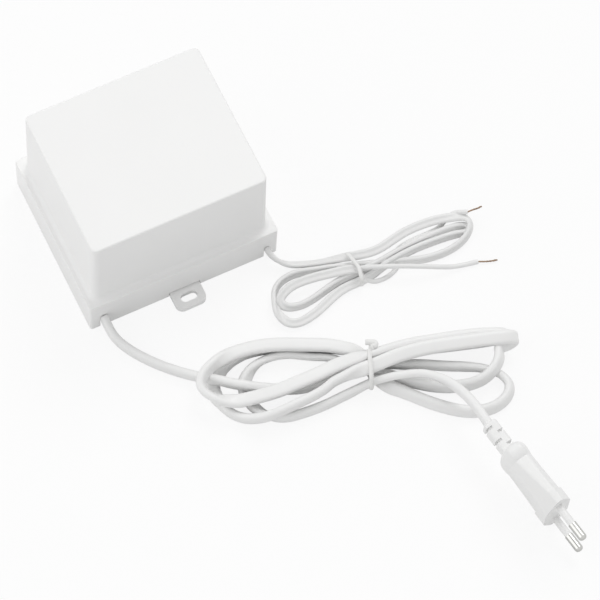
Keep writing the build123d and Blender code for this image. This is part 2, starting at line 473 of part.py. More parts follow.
plug_local = extrude(hex_section(*COLLAR), COLLAR_L)
for sections in (WAIST, SHOULDER):
    plug_local += loft([Pos(0, 0, z) * hex_section(*sizes) for z, *sizes in sections])
for sign in (-1, 1):
    plug_local -= along_pin(sign, 0, COLLAR_L, SLEEVE_R)
sleeves, pins = [], []
for sign in (-1, 1):
    shank = along_pin(sign, -SLEEVE_L, COLLAR_L, PIN_SHANK_R)
    sleeves.append(plug_plane * (along_pin(sign, -SLEEVE_L, COLLAR_L, SLEEVE_R) - shank))
    tip = along_pin(sign, -PIN_L, -SLEEVE_L, PIN_R)
    tip = fillet(tip.edges().group_by(Axis.Z)[0], PIN_TIP_R)
    pins.append(plug_plane * (tip + shank))
write("pin_sleeves", Compound(children=sleeves))
write("plug_pins", Compound(children=pins))

# Strain relief of the plug: a bar cut in from both sides by turns, round the cord's end
relief_middle = (RELIEF_START + RELIEF_END) / 2
relief = Pos(0, 0, relief_middle) * Box(RELIEF_T, RELIEF_W, RELIEF_END - RELIEF_START)
relief = fillet(relief.edges().filter_by(Axis.Z), RELIEF_SIDE_R)
relief = fillet(relief.edges().group_by(Axis.Z)[-1], RELIEF_END_R)
for row, z in enumerate(RELIEF_CUTS):
    near, far = sorted((s * (1 if row % 2 else -1) for s in (RELIEF_CUT_IN, RELIEF_T)))
    relief -= block(near, far, -RELIEF_W, RELIEF_W, z - RELIEF_CUT_W / 2, z + RELIEF_CUT_W / 2)
core_l = RELIEF_END - RELIEF_START - RELIEF_END_R
relief += Pos(0, 0, RELIEF_START) * extrude(flat_section(RELIEF_CORE_T, RELIEF_CORE_W), core_l)
relief = without(relief, plug_local)
write("plug_body", plug_plane * plug_local)
write("plug_relief", plug_plane * relief)

# The last stretch of the mains lead, from the tie up to the relief
relief_end = (plug_plane * Pos(0, 0, RELIEF_END) * Vertex(0, 0, 0)).center()
print("relief end", [round(v, 2) for v in relief_end])
mains_tail = tube("mains_tail", MAINS_TAIL_START + [tuple(relief_end)], MAINS_TUBE_R)
write("mains_tail", without(mains_tail, mains_hank, plug_plane * relief))
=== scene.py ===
"""Control transformer in a white moulded box, with its mains lead and its thin output lead."""

import logging
import math
from dataclasses import dataclass, field
from enum import Enum
from typing import Any, Iterable, Optional, Sequence, Union

import bmesh
import bpy
from mathutils import Matrix, Vector

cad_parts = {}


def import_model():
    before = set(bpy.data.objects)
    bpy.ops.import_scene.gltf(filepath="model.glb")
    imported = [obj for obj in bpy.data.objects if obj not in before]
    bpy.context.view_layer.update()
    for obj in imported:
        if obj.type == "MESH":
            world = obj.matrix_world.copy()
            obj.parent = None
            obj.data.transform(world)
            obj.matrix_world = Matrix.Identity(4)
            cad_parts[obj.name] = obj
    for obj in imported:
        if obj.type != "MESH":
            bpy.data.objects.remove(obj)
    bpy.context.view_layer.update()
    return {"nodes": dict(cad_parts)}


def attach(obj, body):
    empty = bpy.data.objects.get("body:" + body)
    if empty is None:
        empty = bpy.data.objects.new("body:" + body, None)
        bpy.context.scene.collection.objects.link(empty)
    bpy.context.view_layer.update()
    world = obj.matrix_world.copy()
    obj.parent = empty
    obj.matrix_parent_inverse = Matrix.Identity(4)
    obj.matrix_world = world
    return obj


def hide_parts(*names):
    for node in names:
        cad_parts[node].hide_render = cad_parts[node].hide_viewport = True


log = logging.getLogger("control_transformer")
Point = tuple[float, float, float]
Number = Union[int, float, "Shade"]
ROOT = "root"
UP = Vector((0.0, 0.0, 1.0))
SMOOTH_ANGLE = 40.0    # edges that turn by more degrees stay sharp
UPRIGHT_LIMIT = 0.45   # where less than this share of a cord's direction is level, its width holds
WIDTH_BLEND = 5        # points to each side that a cord's width is averaged over
SIDE_HOLLOW = 0.06     # how far the sides of a flat cord sink in, as a share of its radius
TWIN_GROOVE = 48.0     # degrees of each core that its joint with the other one takes, to each side
TWIN_OVERLAP = 0.985   # share of the twin's width that is left where the cores melt together


# Shader maths and node building


class Shade:
    """A socket that carries a number, with Python's operators."""

    def __init__(self, sheet: "NodeSheet", socket: bpy.types.NodeSocket) -> None:
        """Keep the socket and the sheet that it is on."""
        self.sheet = sheet
        self.socket = socket

    def _math(self, operation: str, first: Number, second: Number, clamp: bool = False) -> "Shade":
        """Add a Math node on two values.

        Args:
            operation: the node's operation.
            first: the first value.
            second: the second value.
            clamp: whether the result is held between 0 and 1.

        Returns:
            The node's result.
        """
        settings = {"operation": operation, "use_clamp": clamp}
        return self.sheet.number("ShaderNodeMath", settings, {0: first, 1: second})

    def __add__(self, other: Number) -> "Shade":
        """Sum."""
        return self._math("ADD", self, other)

    __radd__ = __add__

    def __mul__(self, other: Number) -> "Shade":
        """Product."""
        return self._math("MULTIPLY", self, other)

    __rmul__ = __mul__

    def __sub__(self, other: Number) -> "Shade":
        """Difference."""
        return self._math("SUBTRACT", self, other)

    def __rsub__(self, other: Number) -> "Shade":
        """Difference from a value on the left."""
        return self._math("SUBTRACT", other, self)

    def __truediv__(self, other: Number) -> "Shade":
        """Quotient."""
        return self._math("DIVIDE", self, other)

    def __rtruediv__(self, other: Number) -> "Shade":
        """Quotient of a value on the left."""
        return self._math("DIVIDE", other, self)

    def __pow__(self, other: Number) -> "Shade":
        """Power."""
        return self._math("POWER", self, other)

    def __rpow__(self, other: Number) -> "Shade":
        """Power of a value on the left."""
        return self._math("POWER", other, self)

    def clamped(self) -> "Shade":
        """The value held between 0 and 1."""
        return self._math("ADD", self, 0.0, clamp=True)


class NodeSheet:
    """The node tree of a material or of the world."""

    def __init__(self, tree: bpy.types.NodeTree) -> None:
        """Empty the tree, so that only this script's nodes are in it."""
        self.tree = tree
        tree.nodes.clear()

    def node(self, kind: str, settings: Optional[dict[str, Any]] = None,
             values: Optional[dict[Union[int, str], Any]] = None) -> bpy.types.Node:
        """Add a node.

        Args:
            kind: the node's type.
            settings: its own properties, which are set first.
            values: numbers, colours or links for its inputs, by name or place.

        Returns:
            The node.
        """
        made = self.tree.nodes.new(kind)
        for name, value in (settings or {}).items():
            setattr(made, name, value)
        for key, value in (values or {}).items():
            if isinstance(value, Shade):
                value = value.socket
            if isinstance(value, bpy.types.NodeSocket):
                self.tree.links.new(value, made.inputs[key])
            else:
                made.inputs[key].default_value = value
        return made

    def number(self, kind: str, settings: Optional[dict[str, Any]] = None,
               values: Optional[dict[Union[int, str], Any]] = None) -> Shade:
        """Add a node and give its first output as a value."""
        return Shade(self, self.node(kind, settings, values).outputs[0])

    def place(self) -> bpy.types.NodeSocket:
        """The object's own coordinates, in metres."""
        return self.node("ShaderNodeTexCoord").outputs["Object"]

    def noise(self, scale: float, detail: float = 2.0) -> Shade:
        """Noise of that many waves to the metre."""
        values = {"Vector": self.place(), "Scale": scale, "Detail": detail}
        return self.number("ShaderNodeTexNoise", None, values)

    def tint(self, mask: Shade, low: Sequence[float], high: Sequence[float]) -> bpy.types.NodeSocket:
        """A colour between two, by a mask.

        Args:
            mask: 0 for the first colour, 1 for the second.
            low: the first colour.
            high: the second colour.

        Returns:
            The colour's socket.
        """
        mix = self.node("ShaderNodeMix", {"data_type": "RGBA"})
        # An input's name stands once for each kind of data, and only one of them is enabled.
        inputs = {s.name: s for s in mix.inputs if s.enabled}
        self.tree.links.new(mask.socket, inputs["Factor"])
        inputs["A"].default_value = (*low, 1.0)
        inputs["B"].default_value = (*high, 1.0)
        return next(s for s in mix.outputs if s.enabled)

    def bump(self, height: Number, depth: float) -> bpy.types.NodeSocket:
        """A bumped normal; depth is the height's full range in metres."""
        values = {"Strength": 1.0, "Distance": depth, "Height": height}
        return self.node("ShaderNodeBump", None, values).outputs["Normal"]

    def surface(self, **inputs: Any) -> None:
        """Finish a material with a Principled shader and its output.

        Args:
            inputs: the shader's inputs, with an underscore for each space in a name.
        """
        values = {key.replace("_", " "): value for key, value in inputs.items()}
        shader = self.node("ShaderNodeBsdfPrincipled", None, values)
        self.node("ShaderNodeOutputMaterial", None, {"Surface": shader.outputs[0]})


# Finishes


@dataclass(frozen=True)
class Finish:
    """A surface finish; slot is the record's material, and tones are its darkest and lightest share."""

    name: str
    slot: str
    colour: tuple[float, float, float]
    roughness: float = 0.5
    tones: tuple[float, float] = (1.0, 1.0)

    def build(self, sheet: NodeSheet) -> None:
        """Add the finish's nodes."""
        raise NotImplementedError

    def material(self) -> bpy.types.Material:
        """Make the finish's material, or find it where it is made already.

        Returns:
            The material.
        """
        found = bpy.data.materials.get(self.name)
        if found is None:
            found = bpy.data.materials.new(self.name)
            found.use_nodes = True
            self.build(NodeSheet(found.node_tree))
            found.diffuse_color = (*self.colour, 1.0)
        return found

    def tinted(self, sheet: NodeSheet, mask: Shade) -> bpy.types.NodeSocket:
        """The colour in its darkest tone where the mask is 0, and in its lightest where it is 1."""
        low, high = (tuple(min(1.0, c * tone) for c in self.colour) for tone in self.tones)
        return sheet.tint(mask, low, high)


@dataclass(frozen=True)
class MouldedPlastic(Finish):
    """Injection-moulded plastic with a fine spark-eroded grain and slight flow marks."""

    tones: tuple[float, float] = (0.985, 1.01)
    grain: float = 2600.0
    grain_depth: float = 0.00003
    flow: float = 28.0

    def build(self, sheet: NodeSheet) -> None:
        """Lay fine grain over slow waves of tone.

        Args:
            sheet: the material's nodes.
        """
        flow = sheet.noise(self.flow, 3.0)
        grain = sheet.noise(self.grain)
        sheet.surface(
            Base_Color=self.tinted(sheet, flow),
            Roughness=self.roughness + 0.06 * grain - 0.05 * flow,
            Normal=sheet.bump(grain * 0.8 + flow * 0.2, self.grain_depth),
        )


@dataclass(frozen=True)
class SoftSheath(Finish):
    """Extruded PVC sheath with slow patches of tone and a slight waviness."""

    tones: tuple[float, float] = (0.965, 1.015)
    patch: float = 70.0
    ripple: float = 420.0
    ripple_depth: float = 0.00005

    def build(self, sheet: NodeSheet) -> None:
        """Lay fine ripples over slow patches of tone.

        Args:
            sheet: the material's nodes.
        """
        patch = sheet.noise(self.patch)
        ripple = sheet.noise(self.ripple, 3.0)
        sheet.surface(
            Base_Color=self.tinted(sheet, patch),
            Roughness=self.roughness + 0.12 * (ripple - 0.5),
            Normal=sheet.bump(ripple, self.ripple_depth),
        )


@dataclass(frozen=True)
class PlainMetal(Finish):
    """Metal with fine marks and duller patches."""

    tones: tuple[float, float] = (0.86, 1.04)
    marks: float = 900.0
    mark_depth: float = 0.000015
    patch: float = 160.0

    def build(self, sheet: NodeSheet) -> None:
        """Lay fine marks over slow patches of tarnish.

        Args:
            sheet: the material's nodes.
        """
        marks = sheet.noise(self.marks)
        tarnish = sheet.noise(self.patch, 3.0)
        sheet.surface(
            Base_Color=self.tinted(sheet, tarnish),
            Metallic=1.0,
            Roughness=self.roughness + 0.1 * (marks - 0.5) + 0.08 * tarnish,
            Normal=sheet.bump(marks, self.mark_depth),
        )


@dataclass(frozen=True)
class Laminated(Finish):
    """Varnished sheet-steel edges, one line to each lamination."""

    tones: tuple[float, float] = (0.6, 1.3)
    sheet_thickness: float = 0.0005
    line_depth: float = 0.0001
    patch: float = 120.0

    def build(self, sheet: NodeSheet) -> None:
        """Lay fine bands along Y, with patches of rust-brown varnish.

        Args:
            sheet: the material's nodes.
        """
        across = sheet.node("ShaderNodeSeparateXYZ", None, {0: sheet.place()}).outputs["Y"]
        band = sheet.number("ShaderNodeMath", {"operation": "PINGPONG"},
                            {0: across, 1: self.sheet_thickness / 2}) / (self.sheet_thickness / 2)
        varnish = sheet.noise(self.patch, 4.0)
        sheet.surface(
            Base_Color=self.tinted(sheet, (varnish * 0.7 + band * 0.3).clamped()),
            Metallic=0.6,
            Roughness=self.roughness + 0.15 * varnish,
            Normal=sheet.bump(band, self.line_depth),
        )


@dataclass(frozen=True)
class WoundWire(Finish):
    """Layers of enamelled wire laid turn by turn, one band to each turn, with painted shade in the
    grooves between turns.
    """

    tones: tuple[float, float] = (0.55, 1.15)
    pitch: float = 0.0005
    turn_depth: float = 0.0002
    patch: float = 300.0

    def build(self, sheet: NodeSheet) -> None:
        """Lay round bands along Z, with some turns darker than others, and painted shade darkening each
        turn towards its grooves.

        Args:
            sheet: the material's nodes.
        """
        along = sheet.node("ShaderNodeSeparateXYZ", None, {0: sheet.place()}).outputs["Z"]
        turn = sheet.number("ShaderNodeMath", {"operation": "PINGPONG"},
                            {0: along, 1: self.pitch / 2}) / (self.pitch / 2)
        mottle = sheet.noise(self.patch)
        sheet.surface(
            # The turn term is painted shade: each turn is coloured darker in its grooves and lighter on
            # its crown.
            Base_Color=self.tinted(sheet, (mottle * 0.6 + turn * 0.4).clamped()),
            Metallic=0.8,
            Roughness=self.roughness + 0.15 * mottle,
            Normal=sheet.bump(turn ** 0.5, self.turn_depth),
        )


HOUSING_WHITE = MouldedPlastic("housing_white", "white_moulding", (0.91, 0.91, 0.905), 0.42)
GRIP_WHITE = MouldedPlastic("grip_white", "white_moulding", (0.8, 0.8, 0.79), 0.5)
PLUG_WHITE = MouldedPlastic("plug_white", "plug_plastic", (0.87, 0.87, 0.865), 0.38, grain=1900.0)
SHEATH_WHITE = SoftSheath("sheath_white", "white_pvc", (0.88, 0.88, 0.875), 0.42)
TWIN_WHITE = SoftSheath("twin_white", "clear_white_pvc", (0.85, 0.85, 0.845), 0.4, ripple=700.0)
TIE_WHITE = SoftSheath("tie_white", "tie_plastic", (0.84, 0.84, 0.83), 0.45, ripple=900.0)
BROWN_WIRE = SoftSheath("brown_wire", "brown_pvc", (0.1, 0.035, 0.015), 0.38, ripple=800.0)
BLUE_WIRE = SoftSheath("blue_wire", "blue_pvc", (0.015, 0.07, 0.28), 0.38, ripple=800.0)
BOBBIN_NYLON = MouldedPlastic("bobbin_nylon", "bobbin_nylon", (0.68, 0.64, 0.54), 0.45)
COIL_TAPE = MouldedPlastic("coil_tape", "yellow_tape", (0.62, 0.36, 0.04), 0.25, grain=900.0)
ZINC = PlainMetal("zinc_plate", "zinc_steel", (0.5, 0.5, 0.48), 0.34)
TINNED = PlainMetal("tinned_tag", "tinned_brass", (0.56, 0.53, 0.42), 0.3)
FUSE_CAN = PlainMetal("fuse_can", "fuse_metal", (0.5, 0.5, 0.48), 0.28)
PIN_NICKEL = PlainMetal("pin_nickel", "plated_pin", (0.62, 0.62, 0.6), 0.13)
STRAND_COPPER = PlainMetal("strand_copper", "bare_copper", (0.31, 0.22, 0.16), 0.4)
CORE_STEEL = Laminated("core_steel", "lamination_steel", (0.05, 0.04, 0.036), 0.4)
COIL_COPPER = WoundWire("coil_copper", "enamelled_copper", (0.34, 0.1, 0.035), 0.3)


# Meshes


def new_piece(name: str, points: Sequence[Vector], faces: Sequence[Sequence[int]],
              finish: Finish) -> bpy.types.Object:
    """Make a mesh piece that rides on the part.

    Args:
        name: the piece's name.
        points: its corners, in metres.
        faces: its faces, as places in points.
        finish: its finish.

    Returns:
        The object.
    """
    mesh = bpy.data.meshes.new(name)
    mesh.from_pydata([tuple(p) for p in points], [], [tuple(f) for f in faces])
    work = bmesh.new()
    work.from_mesh(mesh)
    bmesh.ops.recalc_face_normals(work, faces=work.faces)
    for edge in work.edges:
        turn = edge.calc_face_angle(0.0)
        edge.smooth = len(edge.link_faces) == 2 and turn < math.radians(SMOOTH_ANGLE)
    work.to_mesh(mesh)
    work.free()
    mesh.polygons.foreach_set("use_smooth", [True] * len(mesh.polygons))
    mesh.materials.append(finish.material())
    piece = bpy.data.objects.new(name, mesh)
    bpy.context.scene.collection.objects.link(piece)
    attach(piece, ROOT)
    log.info("%s: %d faces, %s", name, len(mesh.polygons), finish.name)
    return piece


def loft(rings: Sequence[Sequence[Vector]]) -> tuple[list[Vector], list[list[int]]]:
    """Join rings of equal count into a tube, with a face at each end.

    Args:
        rings: closed rings, one after another.

    Returns:
        The points and faces.
    """
    count = len(rings[0])
    points = [p for ring in rings for p in ring]
    faces = []
    for row in range(len(rings) - 1):
        for k in range(count):
            a, b = row * count + k, row * count + (k + 1) % count
            faces.append([a, b, b + count, a + count])
    faces.append(list(range(count)))
    faces.append(list(range((len(rings) - 1) * count, len(rings) * count)))
    return points, faces


# Cords


class Lay(Enum):
    """How a flat cord lies: its right edge's tilt up from level, in degrees, seen along the cord."""

    FLAT = 0.0
    EASED = -20.0
    LEAN = 40.0
    STEEP = 65.0
    EDGE = 90.0
    TIPPED = -66.0


@dataclass(frozen=True)
class Stretch:
    """A stretch of a cord's route: how it lies, and its points in metres."""

    lay: Lay
    points: tuple[Point, ...]


@dataclass
class Route:
    """A cord's whole route, as one NURBS line through its stretches."""

    name: str
    stretches: Sequence[Stretch]
    steps: int = 5

    def _controls(self) -> tuple[list[Point], list[float]]:
        """List what steers the line.

        Returns:
            The control points, and the tilt in degrees at each.
        """
        points = [p for s in self.stretches for p in s.points]
        tilts = [s.lay.value for s in self.stretches for _ in s.points]
        return points, tilts

    def line(self) -> list[Vector]:
        """Draw the spline and read the smooth line from it.

        Returns:
            The line's points.
        """
        points, _ = self._controls()
        curve = bpy.data.curves.new(self.name + "_line", "CURVE")
        curve.dimensions = "3D"
        spline = curve.splines.new("NURBS")
        spline.points.add(len(points) - 1)
        for control, place in zip(spline.points, points):
            control.co = (*place, 1.0)
        spline.order_u = 3
        spline.use_endpoint_u = True
        spline.resolution_u = self.steps
        holder = bpy.data.objects.new(self.name + "_line", curve)
        bpy.context.scene.collection.objects.link(holder)
        bpy.context.view_layer.update()
        mesh = bpy.data.meshes.new_from_object(holder)
        line = [v.co.copy() for v in mesh.vertices]
        bpy.data.meshes.remove(mesh)
        bpy.data.objects.remove(holder)
        bpy.data.curves.remove(curve)
        return line

    def widths(self, line: Sequence[Vector]) -> list[Vector]:
        """The direction of a flat cord's width at each point of its line.

        Args:
            line: the line's points.

        Returns:
            One unit vector for each point, square to the line.
        """
        _, tilts = self._controls()
        last = len(line) - 1
        raw: list[Vector] = []
        for k, _ in enumerate(line):
            ahead = (line[min(k + 1, last)] - line[max(k - 1, 0)]).normalized()
            place = k / last * (len(tilts) - 1)
            low = min(int(place), len(tilts) - 2)
            turn = (tilts[low + 1] - tilts[low] + 90.0) % 180.0 - 90.0
            tilt = math.radians(tilts[low] + turn * (place - low))
            side = ahead.cross(UP)
            if side.length < UPRIGHT_LIMIT and raw:
                raw.append(raw[-1].copy())
                continue
            side.normalize()
            width = side * math.cos(tilt) + side.cross(ahead) * math.sin(tilt)
            if raw and width.dot(raw[-1]) < 0.0:
                width.negate()
            raw.append(width)
        smooth = []
        for k, _ in enumerate(line):
            near = raw[max(0, k - WIDTH_BLEND):k + WIDTH_BLEND + 1]
            mean = sum(near, Vector()) / len(near)
            ahead = (line[min(k + 1, last)] - line[max(k - 1, 0)]).normalized()
            smooth.append((mean - ahead * mean.dot(ahead)).normalized())
        return smooth

    def length(self, line: Sequence[Vector]) -> float:
        """The line's length, in metres."""
        return sum((b - a).length for a, b in zip(line, line[1:]))


def sweep_section(line: Sequence[Vector], widths: Sequence[Vector],
                  section: Sequence[tuple[float, float]]) -> list[list[Vector]]:
    """Carry a section along a line.

    Args:
        line: the line's points.
        widths: the section's own width direction at each point.
        section: the section's points, as distances along and across its width.

    Returns:
        One ring for each point of the line.
    """
    rings = []
    last = len(line) - 1
    for k, middle in enumerate(line):
        ahead = (line[min(k + 1, last)] - line[max(k - 1, 0)]).normalized()
        thick = ahead.cross(widths[k])
        rings.append([middle + widths[k] * a + thick * b for a, b in section])
    return rings


def slot_section(width: float, thickness: float, steps: int = 7) -> list[tuple[float, float]]:
    """The section of a flat cord: two half circles joined by slightly hollow sides.

    Args:
        width: the section's long way.
        thickness: its short way.
        steps: the steps round each half circle.

    Returns:
        The section's points.
    """
    radius = thickness / 2
    reach = width / 2 - radius
    points = []
    for sign in (1, -1):
        for k in range(steps + 1):
            turn = math.pi * (k / steps - 0.5)
            points.append((sign * (reach + radius * math.cos(turn)), sign * radius * math.sin(turn)))
        points.append((0.0, sign * radius * (1.0 - SIDE_HOLLOW)))
    return points


def twin_section(core: float, steps: int = 9) -> list[tuple[float, float]]:
    """The section of two round cores joined side by side, with a groove between them.

    Args:
        core: one core's diameter.
        steps: the steps round each core.

    Returns:
        The section's points.
    """
    radius = core / 2
    groove = math.radians(TWIN_GROOVE)
    points = []
    for sign in (1, -1):
        for k in range(steps + 1):
            turn = -math.pi + groove + (2 * math.pi - 2 * groove) * k / steps
            along = sign * (radius + radius * math.cos(turn)) * TWIN_OVERLAP
            points.append((along, sign * radius * math.sin(turn)))
    return points


def round_section(radius: float, steps: int = 12) -> list[tuple[float, float]]:
    """A circle's points."""
    turns = [2 * math.pi * k / steps for k in range(steps)]
    return [(radius * math.cos(turn), radius * math.sin(turn)) for turn in turns]


@dataclass
class MainsLead:
    """Flat two-core mains lead: out of the front wall, round the hank and up to the plug."""

    width: float = 0.0068
    thickness: float = 0.0038
    leaving: tuple[Point, ...] = (
        (-0.0410, -0.04225, 0.0076), (-0.0412, -0.0474, 0.0069), (-0.0402, -0.0536, 0.0047),
        (-0.0364, -0.0610, 0.0035), (-0.0300, -0.0702, 0.0036), (-0.0220, -0.0789, 0.0035),
        (-0.0134, -0.0864, 0.0037),
    )
    into_hank: tuple[Point, ...] = (
        (-0.0100, -0.0900, 0.0062), (-0.0069, -0.0928, 0.0076), (-0.0024, -0.0972, 0.0086),
        (0.0027, -0.1010, 0.0090), (0.0084, -0.1042, 0.0078), (0.0141, -0.1064, 0.0055),
        (0.0217, -0.1100, 0.0040), (0.0294, -0.1125, 0.0036), (0.0426, -0.1137, 0.0036),
        (0.0499, -0.1139, 0.0038), (0.0568, -0.1148, 0.0046),
    )
    right_low: tuple[Point, ...] = (
        (0.0681, -0.1173, 0.0044), (0.0750, -0.1209, 0.0038), (0.0821, -0.1239, 0.0036),
        (0.0910, -0.1290, 0.0035), (0.1002, -0.1336, 0.0035),
    )
    right_loop: tuple[Point, ...] = (
        (0.1070, -0.1374, 0.0034), (0.1122, -0.1419, 0.0033), (0.1149, -0.1467, 0.0033),
        (0.1148, -0.1515, 0.0033), (0.1113, -0.1554, 0.0033), (0.1053, -0.1575, 0.0033),
        (0.0986, -0.1571, 0.0033), (0.0923, -0.1548, 0.0033), (0.0867, -0.1512, 0.0033),
        (0.0799, -0.1453, 0.0033), (0.0743, -0.1393, 0.0033), (0.0690, -0.1329, 0.0033),
    )
    crossing: tuple[Point, ...] = (
        (0.0638, -0.1270, 0.0024), (0.0614, -0.1210, 0.0020), (0.0604, -0.1150, 0.0022),
    )
    left_high: tuple[Point, ...] = (
        (0.0596, -0.1106, 0.0046), (0.0568, -0.1059, 0.0066), (0.0516, -0.1024, 0.0080),
        (0.0460, -0.0989, 0.0088), (0.0412, -0.0966, 0.0090), (0.0344, -0.0932, 0.0090),
        (0.0268, -0.0895, 0.0090), (0.0189, -0.0866, 0.0090), (0.0105, -0.0848, 0.0092),
        (0.0027, -0.0845, 0.0098),
    )
    left_bank: tuple[Point, ...] = (
        (-0.0025, -0.0852, 0.0104), (-0.0075, -0.0864, 0.0110), (-0.0114, -0.0883, 0.0113),
        (-0.0140, -0.0906, 0.0113), (-0.0157, -0.0932, 0.0110), (-0.0157, -0.0960, 0.0106),
        (-0.0142, -0.0992, 0.0102), (-0.0115, -0.1023, 0.0098),
    )
    left_back: tuple[Point, ...] = (
        (-0.0076, -0.1048, 0.0095), (-0.0032, -0.1071, 0.0094), (0.0038, -0.1084, 0.0094),
        (0.0102, -0.1096, 0.0098), (0.0166, -0.1106, 0.0106), (0.0234, -0.1108, 0.0112),
        (0.0303, -0.1110, 0.0112), (0.0371, -0.1108, 0.0108), (0.0440, -0.1104, 0.0106),
        (0.0492, -0.1108, 0.0110), (0.0544, -0.1115, 0.0116),
    )
    band_back: tuple[Point, ...] = (
        (0.0584, -0.1119, 0.0120), (0.0620, -0.1125, 0.0121), (0.0697, -0.1131, 0.0121),
        (0.0804, -0.1147, 0.0121), (0.0905, -0.1174, 0.0120), (0.1006, -0.1202, 0.0119),
        (0.1106, -0.1232, 0.0118), (0.1196, -0.1266, 0.0112), (0.1246, -0.1286, 0.0090),
        (0.1226, -0.1292, 0.0056),
    )
    band_return: tuple[Point, ...] = (
        (0.1120, -0.1262, 0.0045), (0.1010, -0.1226, 0.0038), (0.0900, -0.1190, 0.0036),
        (0.0790, -0.1160, 0.0036), (0.0690, -0.1135, 0.0036), (0.0600, -0.1085, 0.0036),
    )
    left_outer: tuple[Point, ...] = (
        (0.0578, -0.1054, 0.0036), (0.0522, -0.1018, 0.0036), (0.0466, -0.0982, 0.0036),
        (0.0416, -0.0962, 0.0035), (0.0349, -0.0926, 0.0035), (0.0272, -0.0890, 0.0035),
        (0.0192, -0.0863, 0.0035), (0.0106, -0.0848, 0.0035), (0.0044, -0.0856, 0.0035),
        (-0.0014, -0.0870, 0.0032),
    )
    left_turn: tuple[Point, ...] = (
        (-0.0056, -0.0890, 0.0024), (-0.0087, -0.0916, 0.0020), (-0.0100, -0.0945, 0.0020),
        (-0.0103, -0.0979, 0.0026),
    )
    left_front: tuple[Point, ...] = (
        (-0.0101, -0.1014, 0.0034), (-0.0091, -0.1061, 0.0035), (-0.0069, -0.1102, 0.0035),
        (-0.0035, -0.1139, 0.0039), (0.0002, -0.1166, 0.0058), (0.0048, -0.1192, 0.0088),
        (0.0097, -0.1201, 0.0102), (0.0157, -0.1201, 0.0106), (0.0227, -0.1199, 0.0106),
        (0.0298, -0.1196, 0.0106), (0.0355, -0.1188, 0.0107), (0.0393, -0.1174, 0.0108),
        (0.0443, -0.1172, 0.0113), (0.0496, -0.1175, 0.0121),
    )
    band_front: tuple[Point, ...] = (
        (0.0546, -0.1182, 0.0128), (0.0575, -0.1184, 0.0130), (0.0623, -0.1187, 0.0132),
        (0.0725, -0.1189, 0.0134), (0.0831, -0.1205, 0.0134), (0.0933, -0.1231, 0.0134),
        (0.1032, -0.1261, 0.0134), (0.1132, -0.1290, 0.0134), (0.1197, -0.1311, 0.0132),
        (0.1243, -0.1324, 0.0122), (0.1264, -0.1330, 0.0100), (0.1234, -0.1332, 0.0082),
    )
    right_middle: tuple[Point, ...] = (
        (0.1190, -0.1332, 0.0084), (0.1166, -0.1346, 0.0092), (0.1157, -0.1378, 0.0098),
        (0.1128, -0.1410, 0.0096), (0.1082, -0.1434, 0.0084), (0.1022, -0.1441, 0.0064),
        (0.0955, -0.1426, 0.0048), (0.0885, -0.1396, 0.0038), (0.0819, -0.1357, 0.0035),
        (0.0757, -0.1309, 0.0034), (0.0706, -0.1263, 0.0034), (0.0658, -0.1219, 0.0034),
    )
    left_inner: tuple[Point, ...] = (
        (0.0590, -0.1156, 0.0034), (0.0520, -0.1096, 0.0035), (0.0472, -0.1044, 0.0035),
        (0.0435, -0.1018, 0.0035), (0.0396, -0.1000, 0.0035), (0.0348, -0.0972, 0.0035),
        (0.0296, -0.0939, 0.0035), (0.0236, -0.0917, 0.0035), (0.0169, -0.0910, 0.0035),
        (0.0107, -0.0924, 0.0033),
    )
    inner_turn: tuple[Point, ...] = (
        (0.0061, -0.0956, 0.0030), (0.0037, -0.0984, 0.0029), (0.0025, -0.1018, 0.0029),
        (0.0022, -0.1062, 0.0029), (0.0035, -0.1114, 0.0030), (0.0060, -0.1158, 0.0032),
    )
    inner_front: tuple[Point, ...] = (
        (0.0092, -0.1186, 0.0034), (0.0140, -0.1214, 0.0034), (0.0203, -0.1226, 0.0034),
        (0.0270, -0.1232, 0.0034), (0.0337, -0.1235, 0.0034), (0.0417, -0.1231, 0.0034),
        (0.0473, -0.1229, 0.0035), (0.0529, -0.1228, 0.0044),
    )
    to_plug: tuple[Point, ...] = (
        (0.0578, -0.1234, 0.0070), (0.0640, -0.1253, 0.0095), (0.0696, -0.1272, 0.0110),
        (0.0781, -0.1307, 0.0125), (0.0839, -0.1360, 0.0134),
    )
    into_relief: tuple[Point, ...] = (
        (0.0880, -0.1423, 0.0148), (0.0906, -0.1503, 0.0170), (0.0919, -0.1591, 0.0194),
        (0.0924, -0.1682, 0.0210), (0.0926, -0.1716, 0.0211),
    )

    def build(self) -> bpy.types.Object:
        """Sweep the flat section along the whole route.

        Returns:
            The piece.
        """
        route = Route("mains_cord", (
            Stretch(Lay.EDGE, self.leaving), Stretch(Lay.EDGE, self.into_hank),
            Stretch(Lay.EDGE, self.right_low), Stretch(Lay.STEEP, self.right_loop),
            Stretch(Lay.FLAT, self.crossing), Stretch(Lay.FLAT, self.left_high),
            Stretch(Lay.STEEP, self.left_bank), Stretch(Lay.FLAT, self.left_back),
            Stretch(Lay.STEEP, self.band_back), Stretch(Lay.EDGE, self.band_return),
            Stretch(Lay.EDGE, self.left_outer), Stretch(Lay.FLAT, self.left_turn),
            Stretch(Lay.EDGE, self.left_front), Stretch(Lay.EASED, self.band_front),
            Stretch(Lay.STEEP, self.right_middle), Stretch(Lay.TIPPED, self.left_inner),
            Stretch(Lay.LEAN, self.inner_turn), Stretch(Lay.EDGE, self.inner_front),
            Stretch(Lay.STEEP, self.to_plug), Stretch(Lay.EDGE, self.into_relief),
        ))
        line = route.line()
        rings = sweep_section(line, route.widths(line), slot_section(self.width, self.thickness))
        piece = new_piece("mains_cord", *loft(rings), SHEATH_WHITE)
        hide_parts("mains_lead", "mains_hank", "mains_tail")
        length = round(route.length(line), 3)
        log.info("mains lead is %.3f m long", length)
        return piece


